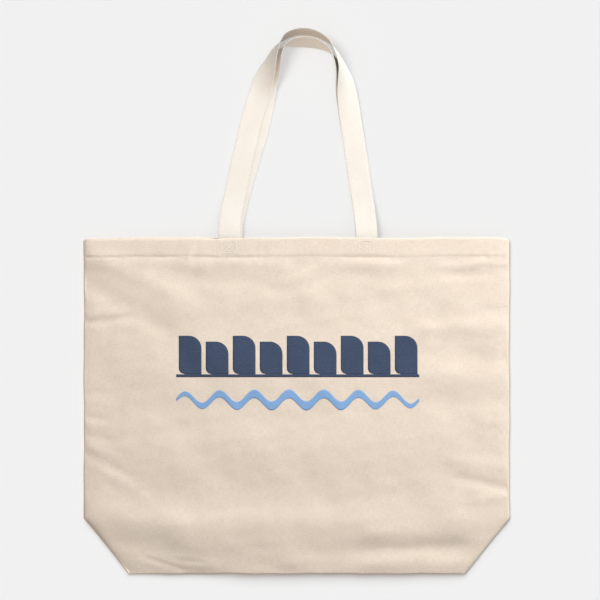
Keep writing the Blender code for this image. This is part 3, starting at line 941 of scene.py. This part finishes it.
def body_grid(settings):
    """Grid of the one long cloth: front hem, front, base folded inwards, back, back hem."""
    columns = edge_columns(HALF_WIDTH, settings.grid_step)
    full = row_places(columns, HALF_WIDTH)
    hem_x = row_places(columns, HALF_WIDTH - HEM_INSET)
    turn_x = (full + hem_x) / 2
    hem_ys = np.linspace(HEM_LOW_Y - HEM_END, MOUTH_Y - LAYER / 2, 8)
    top_y = hem_ys[-1]
    fold_y = BASE_Y + LAYER / 2
    fold_x = row_places(columns, half_width(fold_y) - BASE_INSET)
    inner_y = GUSSET_TOP_Y - LAYER / 2
    inner_x = row_places(columns, BASE_FOLD_HALF)
    upper = np.full(fold_x.shape, EDGE_STACK - GAP - CLOTH / 2)
    lower = np.full(fold_x.shape, LAYER + CLOTH / 2)

    def panel(ys, middle):
        places = [(row_places(columns, half_width(y)), y) for y in ys]
        return [(x, y, middle(x, y, settings)) for x, y in places]

    def base_leg(shares, height):
        steps = [(fold_x + (inner_x - fold_x) * k, fold_y + (inner_y - fold_y) * k) for k in shares]
        return [(x, y, height) for x, y in steps]

    rows = [(hem_x, y, front_middle(hem_x, y, settings) - LAYER) for y in hem_ys]
    over = front_middle(full, top_y, settings)
    under = front_middle(hem_x, top_y, settings) - LAYER
    rows += turn_rows(turn_x, top_y, 1, under, over)
    rows += panel(front_rows(settings.grid_step), front_middle)
    fronts = len(rows)
    rows += turn_rows(fold_x, fold_y, -1, front_middle(fold_x, fold_y, settings), upper)
    shares = np.linspace(0, 1, 14)
    rows += base_leg(shares, upper)
    rows += turn_rows(inner_x, inner_y, 1, upper, lower)
    rows += base_leg(shares[::-1], lower)
    rows += turn_rows(fold_x, fold_y, -1, lower, back_middle(fold_x, fold_y, settings))
    rows += panel(front_rows(settings.grid_step * 1.5)[::-1], back_middle)
    over = back_middle(hem_x, top_y, settings) + LAYER
    under = back_middle(full, top_y, settings)
    rows += turn_rows(turn_x, top_y, 1, under, over)
    rows += [(hem_x, y, back_middle(hem_x, y, settings) + LAYER) for y in hem_ys[::-1]]
    points = np.array([np.stack([x, np.broadcast_to(y, x.shape), z], axis=-1) for x, y, z in rows])
    front = np.arange(len(rows)) < fronts
    return points, front.astype(float)[:, None]


def flat_uv(points):
    """UVs in metres: x across, and the distance along the cloth."""
    middle = points.shape[1] // 2
    steps = np.linalg.norm(np.diff(points[:, middle], axis=0), axis=1)
    along = np.concatenate([[0.0], np.cumsum(steps)])
    u = points[:, :, 0]
    v = np.broadcast_to(along[:, None], u.shape)
    return np.stack([u, v], axis=-1)


class TOTE_OT_add_body(bpy.types.Operator):
    """Add the bag's body: one long canvas, hemmed at both ends and folded in at the base."""

    bl_idname = "tote.add_body"
    bl_label = "Canvas Body"

    def execute(self, context):
        settings = context.scene.tote_canvas
        points, front = body_grid(settings)
        uv = flat_uv(points)
        dx, dy = warp(points[:, :, 0], points[:, :, 1], front)
        points[:, :, 0] += dx
        points[:, :, 1] += dy
        body = grid_object("canvas_body", points, uv, get_material("natural_canvas"))
        thicken(body, CLOTH)
        nodes = ("front_panel", "back_panel", "base_gusset", "front_hem", "back_hem")
        place(body, "bag", "canvas", *nodes)
        return {"FINISHED"}


# ---------------------------------------------------------------- seams and corners inside


def add_strip(name, start, end, width, layers_low, canvas, side):
    """Two layers of seam allowance along a line, with slightly uneven cut edges."""
    count = 90
    share = np.linspace(0, 1, count)
    path = np.outer(1 - share, start) + np.outer(share, end)
    across = np.array((end[1] - start[1], start[0] - end[0]))
    across = across / np.linalg.norm(across) * side
    ragged = 0.00025 * np.sin(share * 173.0) + 0.0002 * np.sin(share * 71.0 + 1.0)
    pieces = []
    for layer in range(2):
        low = layers_low + layer * CLOTH
        rows = []
        for reach in (0.0, 0.35, 0.7, 1.0):
            spread = width * reach + (ragged * (1 if layer else -1) if reach == 1.0 else 0)
            xy = path + across * np.reshape(spread, (-1, 1))
            z = low + CLOTH / 2 + back_low(xy[:, 1]) + 0.00003 * np.sin(share * 60 + layer)
            rows.append(np.column_stack([xy, z]))
        points = np.stack(rows)
        uv = np.stack([points[:, :, 1], points[:, :, 0]], axis=-1)
        piece = grid_object(f"{name}_layer_{layer + 1}", points, uv, canvas)
        thicken(piece, CLOTH * 0.94)
        pieces.append(piece)
    return pieces


def add_corner(name, side, canvas):
    """A boxed corner folded in between the panels: two three-cornered layers."""
    low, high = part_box(name)
    upper = np.array((side * HALF_WIDTH, BASE_Y + CORNER_UP))
    lower = np.array((side * (HALF_WIDTH - CORNER_ACROSS), BASE_Y))
    inner_x = low.x if side > 0 else high.x
    tip = np.array((inner_x, high.y - 0.012))
    count = 26
    pieces = []
    for layer, z in enumerate(CORNER_FOLD_Z):
        rows = []
        for share in np.linspace(0.05, 0.93, count):
            edge = upper + (lower - upper) * np.linspace(0.03, 0.97, count)[:, None]
            xy = edge + (tip - edge) * share
            height = z + 0.00003 * np.sin(xy[:, 0] / 0.004)
            rows.append(np.column_stack([xy, height]))
        points = np.stack(rows)
        piece = grid_object(f"{name}_layer_{layer + 1}", points, points[:, :, :2], canvas)
        thicken(piece, CLOTH * 0.9)
        pieces.append(piece)
    return pieces


class TOTE_OT_add_seams(bpy.types.Operator):
    """Add the seam allowances and the folded-in corners inside the bag."""

    bl_idname = "tote.add_seams"
    bl_label = "Inner Seams and Corners"

    def execute(self, context):
        canvas = get_material("natural_canvas")
        width = 0.008
        for side, end in ((-1, "left"), (1, "right")):
            seam = f"side_seam_{end}"
            edge = side * (HALF_WIDTH - EDGE_ROUND - GAP)
            start = np.array((edge, BASE_Y + CORNER_UP))
            finish = np.array((edge, HEM_LOW_Y - 0.002))
            pieces = {seam: add_strip(seam, start, finish, 0.0085, LAYER, canvas, -side)}
            corner = f"corner_fold_{end}"
            pieces[corner] = add_corner(corner, side, canvas)
            seam = f"corner_seam_{end}"
            low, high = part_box(seam)
            x = (low.x + high.x) / 2 - width / 2
            start = np.array((x, low.y))
            finish = np.array((x, high.y))
            pieces[seam] = add_strip(seam, start, finish, width, low.z, canvas, 1)
            for node, layers in pieces.items():
                for layer in layers:
                    place(layer, "bag", "canvas", node)
        return {"FINISHED"}


# ---------------------------------------------------------------- handles


def smooth_route(route):
    """Evenly spaced points along a smooth curve through the stations of a route."""
    padded = np.array([route[0], *route, route[-1]], float)
    dense = []
    for before, start, end, after in zip(padded, padded[1:], padded[2:], padded[3:]):
        for t in np.arange(0, 1, 1 / 30):
            bend = (2 * before - 5 * start + 4 * end - after) * t**2
            bend += (3 * start - 3 * end + after - before) * t**3
            dense.append(start + ((end - before) * t + bend) / 2)
    dense.append(padded[-1])
    dense = np.array(dense)
    steps = np.linalg.norm(np.diff(dense[:, :2], axis=0), axis=1)
    along = np.concatenate([[0.0], np.cumsum(steps)])
    places = np.linspace(0, along[-1], int(along[-1] / WEB_STEP))
    even = np.column_stack([np.interp(places, along, dense[:, k]) for k in range(4)])
    kernel = np.exp(-((np.arange(-WEB_SMOOTH, WEB_SMOOTH + 1) / (WEB_SMOOTH / 2)) ** 2))
    kernel /= kernel.sum()
    for _ in range(2):
        reach = ((WEB_SMOOTH, WEB_SMOOTH), (0, 0))
        padded = np.pad(even, reach, mode="reflect", reflect_type="odd")
        even = np.column_stack([np.convolve(padded[:, k], kernel, "valid") for k in range(4)])
    return even


def add_handle(name, route, webbing, tab_height):
    """One webbing loop from sewn end to sewn end, with woven edges that stand out in small loops."""
    first, last = route[0], route[-1]
    sewn_down = (-TAB_DEPTH, -TAB_DEPTH / 2, 0.0)
    start = [(first[0], beyond, 0, first[3]) for beyond in sewn_down]
    finish = [(last[0], beyond, 0, last[3]) for beyond in reversed(sewn_down)]
    places = smooth_route([*start, *route, *finish])
    shorter = 0.012
    places[:, 1] *= np.where(places[:, 1] > 0, 1 - shorter * ease(places[:, 1] / 0.2), 1)
    roll = np.radians(places[:, 2])
    z = places[:, 3] + WEB_WIDTH / 2 * np.sin(roll)
    centre = np.column_stack([places[:, 0], MOUTH_Y + places[:, 1], z])
    along = np.gradient(centre, axis=0)
    along /= np.linalg.norm(along, axis=1)[:, None]
    inward = np.column_stack([along[:, 1], -along[:, 0], np.zeros(len(along))])
    inward /= np.linalg.norm(inward, axis=1)[:, None]
    across = inward * np.cos(roll)[:, None]
    across[:, 2] = np.sin(roll)
    face = np.cross(across, along)
    face /= np.linalg.norm(face, axis=1)[:, None]
    length = np.concatenate([[0.0], np.cumsum(np.linalg.norm(np.diff(centre, axis=0), axis=1))])
    rim = [0.90, 0.955, 0.985, 1.0]
    share = np.concatenate([[-place for place in reversed(rim)], np.linspace(-0.8, 0.8, 13), rim])
    ring = np.concatenate([share, share[::-1]])
    side = np.concatenate([np.full(len(share), 1.0), np.full(len(share), -1.0)])
    loops = np.abs(np.sin(math.pi * length / webbing.scallop_pitch))
    edge = np.abs(ring) ** 8
    scallop = np.sign(ring) * webbing.scallop * edge * (loops[:, None] - 0.6)
    reach = WEB_WIDTH / 2 * ring[None, :] + scallop
    half = WEB_THICK / 2 * np.sqrt(np.maximum(0.06, 1 - np.abs(ring) ** 16))
    cup = 0.00018 * np.sin(length / 0.031)[:, None] * (1 - ring[None, :] ** 2)
    height = side[None, :] * half[None, :] + cup
    points = centre[:, None] + across[:, None] * reach[..., None] + face[:, None] * height[..., None]
    inside = ease((MOUTH_Y + 0.004 - points[:, :, 1]) / 0.004)
    follow = tab_height(points[:, :, 0], np.minimum(points[:, :, 1], MOUTH_Y)) + height
    points[:, :, 2] += (follow - points[:, :, 2]) * inside
    stations, around = points.shape[:2]
    index = np.arange(stations * around).reshape(stations, around)
    after = np.roll(index, -1, axis=1)
    quads = np.stack([index[:-1], index[1:], after[1:], after[:-1]], axis=-1).reshape(-1, 4)
    faces = quads.tolist()
    faces.append(index[0].tolist())
    faces.append(index[-1][::-1].tolist())
    u = np.broadcast_to(length[:, None], reach.shape)
    uv = np.stack([u, reach + WEB_WIDTH / 2], axis=-1).reshape(-1, 2)
    corner_uv = uv[np.concatenate(faces)]
    material = get_material("cotton_webbing")
    handle = make_object(name, points.reshape(-1, 3), faces, material, corner_uv)
    return handle, float(length[-1])


class TOTE_OT_add_handles(bpy.types.Operator):
    """Add the two webbing handles, each sewn in behind a hem and bending just past the mouth."""

    bl_idname = "tote.add_handles"
    bl_label = "Webbing Handles"

    def execute(self, context):
        canvas = context.scene.tote_canvas
        webbing = context.scene.tote_webbing
        under = 2 * LAYER + WEB_THICK / 2 - CLOTH / 2

        def front_tab(x, y):
            return front_middle(x, y, canvas) - under

        def back_tab(x, y):
            return back_middle(x, y, canvas) + under

        handles = (
            ("front_handle", FRONT_ROUTE, front_tab),
            ("back_handle", BACK_ROUTE, back_tab),
        )
        for name, route, tab in handles:
            handle, length = add_handle(f"{name}_webbing", route, webbing, tab)
            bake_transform(handle)
            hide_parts(name, f"{name}_end_left", f"{name}_end_right")
        return {"FINISHED"}


# ---------------------------------------------------------------- stitching


def stitch_mesh(name, spots, settings, thickness, material):
    """Short bulging stitches. Each spot is a middle point and a direction along the cloth."""
    rings = 7
    around = 8
    share = np.linspace(0, math.pi, rings)
    points = []
    faces = []
    uvs = []
    radius = thickness / 2
    for middle, direction in spots:
        side = np.array((-direction[1], direction[0], 0.0))
        base = len(points)
        for angle in share:
            x = -math.cos(angle) * settings.length * 0.46
            size = radius * max(0.12, math.sin(angle) ** 0.6)
            lift = radius * 0.7 * math.sin(angle)
            for k in range(around):
                turn = math.tau * k / around
                offset = side * math.cos(turn) * size
                up = np.array((0, 0, math.sin(turn) * size * 0.8 + lift))
                points.append(middle + direction * x + offset + up)
        for j in range(rings - 1):
            for k in range(around):
                after = (k + 1) % around
                one = base + j * around
                two = one + around
                faces.append([one + k, two + k, two + after, one + after])
                u = settings.length * j / rings
                v = radius * 6 * k / around
                uvs += [(u, v), (u + 0.0003, v), (u + 0.0003, v + 0.0001), (u, v + 0.0001)]
        faces.append([base + k for k in range(around)])
        uvs += [(0, 0)] * around
        last = base + (rings - 1) * around
        faces.append([last + k for k in reversed(range(around))])
        uvs += [(0, 0)] * around
    return make_object(name, points, faces, material, uvs)


def line_spots(start, end, pitch, surface):
    """Stitch middles and directions along a straight line on the cloth."""
    start = np.array(start)
    end = np.array(end)
    length = np.linalg.norm(end - start)
    count = max(1, round(length / pitch))
    direction = (end - start) / length
    spots = []
    for k in range(count):
        xy = start + direction * length * (k + 0.5) / count
        step = direction * pitch * 0.3
        along = surface(*(xy + step)) - surface(*(xy - step))
        spots.append((surface(*xy), along / np.linalg.norm(along)))
    return spots


def tack_spots(node, pitch, surface):
    """A box of stitches with a cross in it, on the place of a tack node."""
    low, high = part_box(node)
    corners = [(low.x, low.y), (high.x, low.y), (high.x, high.y), (low.x, high.y)]
    spots = []
    for one, two in zip(corners, corners[1:] + corners[:1]):
        spots += line_spots(one, two, pitch, surface)
    spots += line_spots(corners[0], corners[2], pitch, surface)
    spots += line_spots(corners[3], corners[1], pitch, surface)
    return spots


class TOTE_OT_add_stitching(bpy.types.Operator):
    """Add the hem stitching and the cross-stitched tacks on both sides of the bag."""

    bl_idname = "tote.add_stitching"
    bl_label = "Stitching"

    def execute(self, context):
        canvas = context.scene.tote_canvas
        settings = context.scene.tote_stitch
        thread = get_material("sewing_thread")
        bury = settings.thickness * 0.15

        def front_top(x, y):
            return on_front(x, y, canvas, -bury)

        def back_under(x, y):
            return under_back(x, y, canvas, -bury) * np.array((1, 1, -1))

        for layer, surface in (("front", front_top), ("back", back_under)):
            low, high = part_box(f"{layer}_hem_stitch")
            y = (low.y + high.y) / 2
            reach = HALF_WIDTH - 0.004
            hem = line_spots((-reach, y), (reach, y), settings.length * 1.12, surface)
            rows = {f"{layer}_hem_stitch": hem}
            for end in ("left", "right"):
                node = f"{layer}_tack_{end}"
                rows[node] = tack_spots(node, settings.length * 1.05, surface)
            for node, spots in rows.items():
                thickness = settings.tack_thickness if "tack" in node else settings.thickness
                piece = stitch_mesh(f"{node}_thread", spots, settings, thickness, thread)
                if layer == "back":
                    piece.data.transform(((1, 0, 0, 0), (0, 1, 0, 0), (0, 0, -1, 0), (0, 0, 0, 1)))
                    piece.data.flip_normals()
                place(piece, "bag", "thread", node)
        return {"FINISHED"}


# ---------------------------------------------------------------- print


def film(name, patches, material, settings):
    """A thin ink film over patches of (x, y) grids, laid on the front cloth."""
    points = []
    faces = []
    for patch in patches:
        faces += (len(points) + grid_quads(patch)).tolist()
        points += on_front(patch[:, :, 0], patch[:, :, 1], settings, INK_CLEAR).reshape(-1, 3).tolist()
    flat = np.array(points)[:, :2]
    uv = flat[np.array(faces).ravel()]
    piece = make_object(name, points, faces, material, uv)
    thicken(piece, INK_THICK)
    return piece


def leaf_patch(left, right, foot, tip, radius):
    """Grid over one leaf: upper right and lower left corners are round."""
    rows = []
    small = radius / 2
    lower = np.linspace(foot, foot + small, 7)
    middle = np.linspace(foot + small, tip - radius, 14)[1:]
    upper = tip - radius + radius * np.sin(np.linspace(0, math.pi / 2, 10))[1:]
    heights = np.concatenate([lower, middle, upper])
    for y in heights:
        cut_low = small - math.sqrt(max(0.0, small**2 - (foot + small - min(y, foot + small)) ** 2))
        cut_high = radius - math.sqrt(max(0.0, radius**2 - (max(y, tip - radius) - tip + radius) ** 2))
        xs = np.linspace(left + cut_low, right - cut_high, 12)
        rows.append(np.column_stack([xs, np.full(len(xs), y)]))
    return np.stack(rows)


class TOTE_OT_add_print(bpy.types.Operator):
    """Add the printed motif: a dark garland of leaves over a light wavy ribbon."""

    bl_idname = "tote.add_print"
    bl_label = "Printed Motif"

    def execute(self, context):
        canvas = context.scene.tote_canvas
        settings = context.scene.tote_print
        low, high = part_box("print_upper")
        foot = low.y + STEM_WIDTH
        pitch = (high.x - low.x) / settings.leaves
        patches = []
        for k in range(settings.leaves):
            left = low.x + pitch * k + LEAF_MARGINS[0]
            right = low.x + pitch * (k + 1) - LEAF_MARGINS[1]
            tip = high.y - LEAF_STEP * (k % 2)
            patches.append(leaf_patch(left, right, foot, tip, LEAF_ROUND))
        xs = np.linspace(low.x, high.x, 120)
        rows = [np.column_stack([xs, np.full(len(xs), y)]) for y in np.linspace(low.y, foot, 4)]
        patches.append(np.stack(rows))
        ink = ink_material("dark_blue_ink", settings.dark, canvas)
        place(film("print_upper_film", patches, ink, canvas), "bag", "ink_dark", "print_upper")
        low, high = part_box("print_lower")
        share = np.linspace(0, 1, 240)
        x = low.x + (high.x - low.x) * share
        swing = (high.y - low.y) / 2 - RIBBON_WIDEST / 2
        middle = (low.y + high.y) / 2 + swing * np.sin(math.tau * settings.waves * share)
        half = RIBBON_END / 2 + (RIBBON_WIDEST - RIBBON_END) / 2 * np.sin(math.pi * share) ** 0.5
        rows = [np.column_stack([x, middle + half * level]) for level in np.linspace(-1, 1, 7)]
        ink = ink_material("light_blue_ink", settings.light, canvas)
        place(film("print_lower_film", [np.stack(rows)], ink, canvas), "bag", "ink_light", "print_lower")
        return {"FINISHED"}


# ---------------------------------------------------------------- stage


def new_group(name, objects):
    """A collection that names the objects a lamp is meant for."""
    group = bpy.data.collections.new(name)
    for obj in objects:
        group.objects.link(obj)
    return group


def add_lamp(name, kind, energy, aim, lit, blockers=None, **settings):
    """A lamp that shines against aim, only on the objects lit, and shadowed only by the blockers."""
    light = bpy.data.lights.new(name, kind)
    light.energy = energy
    for key, value in settings.items():
        setattr(light, key, value)
    lamp = bpy.data.objects.new(name, light)
    lamp.rotation_euler = Vector(aim).to_track_quat("Z", "Y").to_euler()
    lamp.light_linking.receiver_collection = lit
    lamp.light_linking.blocker_collection = blockers
    bpy.context.scene.collection.objects.link(lamp)
    return lamp


class TOTE_OT_add_stage(bpy.types.Operator):
    """Add the pale table, the soft light and the camera straight above."""

    bl_idname = "tote.add_stage"
    bl_label = "Table, Light and Camera"

    def execute(self, context):
        settings = context.scene.tote_stage
        scene = context.scene
        reach = TABLE_REACH
        corners = [(-reach, -reach, 0), (reach, -reach, 0), (reach, reach, 0), (-reach, reach, 0)]
        table = make_object("table", corners, [[0, 1, 2, 3]], table_material())
        table.location.z = TABLE_Z
        meshes = [obj for obj in scene.objects if obj.type == "MESH" and obj is not table]
        webbing = [obj for obj in meshes if obj.name.endswith("handle_webbing")]
        pieces = new_group("bag_pieces", meshes)
        ground = new_group("ground", [table])
        handles = new_group("handles", webbing)
        flat_pieces = new_group("flat_pieces", [obj for obj in meshes if obj not in webbing])
        toward = Vector(SOFTBOX_PLACE) - Vector(SOFTBOX_TARGET)
        softbox = add_lamp(
            "soft_key", "AREA", settings.key, toward, pieces,
            size=SOFTBOX_SIZE, color=(0.965, 0.985, 1.0),
        )
        softbox.location = SOFTBOX_PLACE
        wide = math.radians(DOME_ANGLE)
        add_lamp(
            "bag_dome", "SUN", settings.dome, (0, 0, 1), pieces,
            angle=wide, color=(1.0, 0.95, 0.905),
        )
        add_lamp("under_fill", "SUN", settings.under_fill, (0, 0, -1), pieces, pieces, angle=wide)
        shadows = (
            ("table_light_low", 0.38, 46.0, (-0.20, 1.10, 1.0), flat_pieces),
            ("table_light_wide", 0.30, 126.0, (0.0, 0.05, 1.0), pieces),
            ("table_light_high", 0.32, 30.0, (-0.48, 0.30, 1.0), pieces),
        )
        once = [softbox]
        for name, share, angle, aim, blockers in shadows:
            energy = settings.table_light * share * Vector(aim).length
            lamp = add_lamp(name, "SUN", energy, aim, ground, blockers, angle=math.radians(angle))
            once.append(lamp)
        fill = add_lamp(
            "handle_fill", "SUN", settings.handle_fill, (-0.60, -0.85, 0.42), handles, ground,
            angle=math.radians(60), color=(1.0, 0.80, 0.64),
        )
        once.append(fill)
        for lamp in once:
            lamp.data.cycles.max_bounces = settings.light_bounces
        world = bpy.data.worlds.new("studio")
        world.use_nodes = True
        tree = world.node_tree
        background = tree.nodes["Background"]
        background.inputs["Color"].default_value = (1.0, 1.0, 1.0, 1.0)
        path = tree.nodes.new("ShaderNodeLightPath")
        strength = tree.nodes.new("ShaderNodeMapRange")
        tree.links.new(path.outputs["Is Camera Ray"], strength.inputs["Value"])
        strength.inputs["To Min"].default_value = settings.ambient
        strength.inputs["To Max"].default_value = settings.backdrop
        tree.links.new(strength.outputs["Result"], background.inputs["Strength"])
        scene.world = world
        camera = bpy.data.cameras.new("camera")
        camera.lens = camera.sensor_width * settings.distance / settings.field
        eye = bpy.data.objects.new("camera", camera)
        eye.location = (CAMERA_X, CAMERA_Y, settings.distance)
        scene.collection.objects.link(eye)
        scene.camera = eye
        scene.view_settings.view_transform = "Standard"
        return {"FINISHED"}


# ---------------------------------------------------------------- panel and main


OPERATORS = (
    TOTE_OT_add_body,
    TOTE_OT_add_seams,
    TOTE_OT_add_handles,
    TOTE_OT_add_stitching,
    TOTE_OT_add_print,
    TOTE_OT_add_stage,
)
GROUPS = {
    "tote_canvas": TOTE_PG_canvas,
    "tote_webbing": TOTE_PG_webbing,
    "tote_stitch": TOTE_PG_stitch,
    "tote_print": TOTE_PG_print,
    "tote_stage": TOTE_PG_stage,
}


class TOTE_PT_panel(bpy.types.Panel):
    """Sidebar panel with the bag's settings and steps."""

    bl_idname = "TOTE_PT_panel"
    bl_label = "Tote Bag"
    bl_space_type = "VIEW_3D"
    bl_region_type = "UI"
    bl_category = "Tote Bag"

    def draw(self, context):
        for name in GROUPS:
            box = self.layout.box()
            settings = getattr(context.scene, name)
            for key in settings.__annotations__:
                box.prop(settings, key)
        for operator in OPERATORS:
            self.layout.operator(operator.bl_idname)


def get_material(name):
    """A finish by name, made the first time that it is asked for."""
    found = bpy.data.materials.get(name)
    if found is not None:
        return found
    scene = bpy.context.scene
    makers = {
        "natural_canvas": lambda: canvas_material(scene.tote_canvas),
        "cotton_webbing": lambda: webbing_material(scene.tote_webbing),
        "sewing_thread": lambda: thread_material(scene.tote_stitch),
    }
    return makers[name]()


def register():
    """Make the settings, steps and panel known to Blender."""
    for cls in (*GROUPS.values(), *OPERATORS, TOTE_PT_panel):
        bpy.utils.register_class(cls)
    for name, group in GROUPS.items():
        setattr(bpy.types.Scene, name, bpy.props.PointerProperty(type=group))


def unregister():
    """Take the settings, steps and panel out again."""
    for name in GROUPS:
        delattr(bpy.types.Scene, name)
    for cls in reversed((*GROUPS.values(), *OPERATORS, TOTE_PT_panel)):
        bpy.utils.unregister_class(cls)


def main():
    """Build the bag and its stage."""
    register()
    bpy.ops.tote.add_body()
    bpy.ops.tote.add_seams()
    bpy.ops.tote.add_handles()
    bpy.ops.tote.add_stitching()
    bpy.ops.tote.add_print()
    bpy.ops.tote.add_stage()


if __name__ == "__main__":
    main()
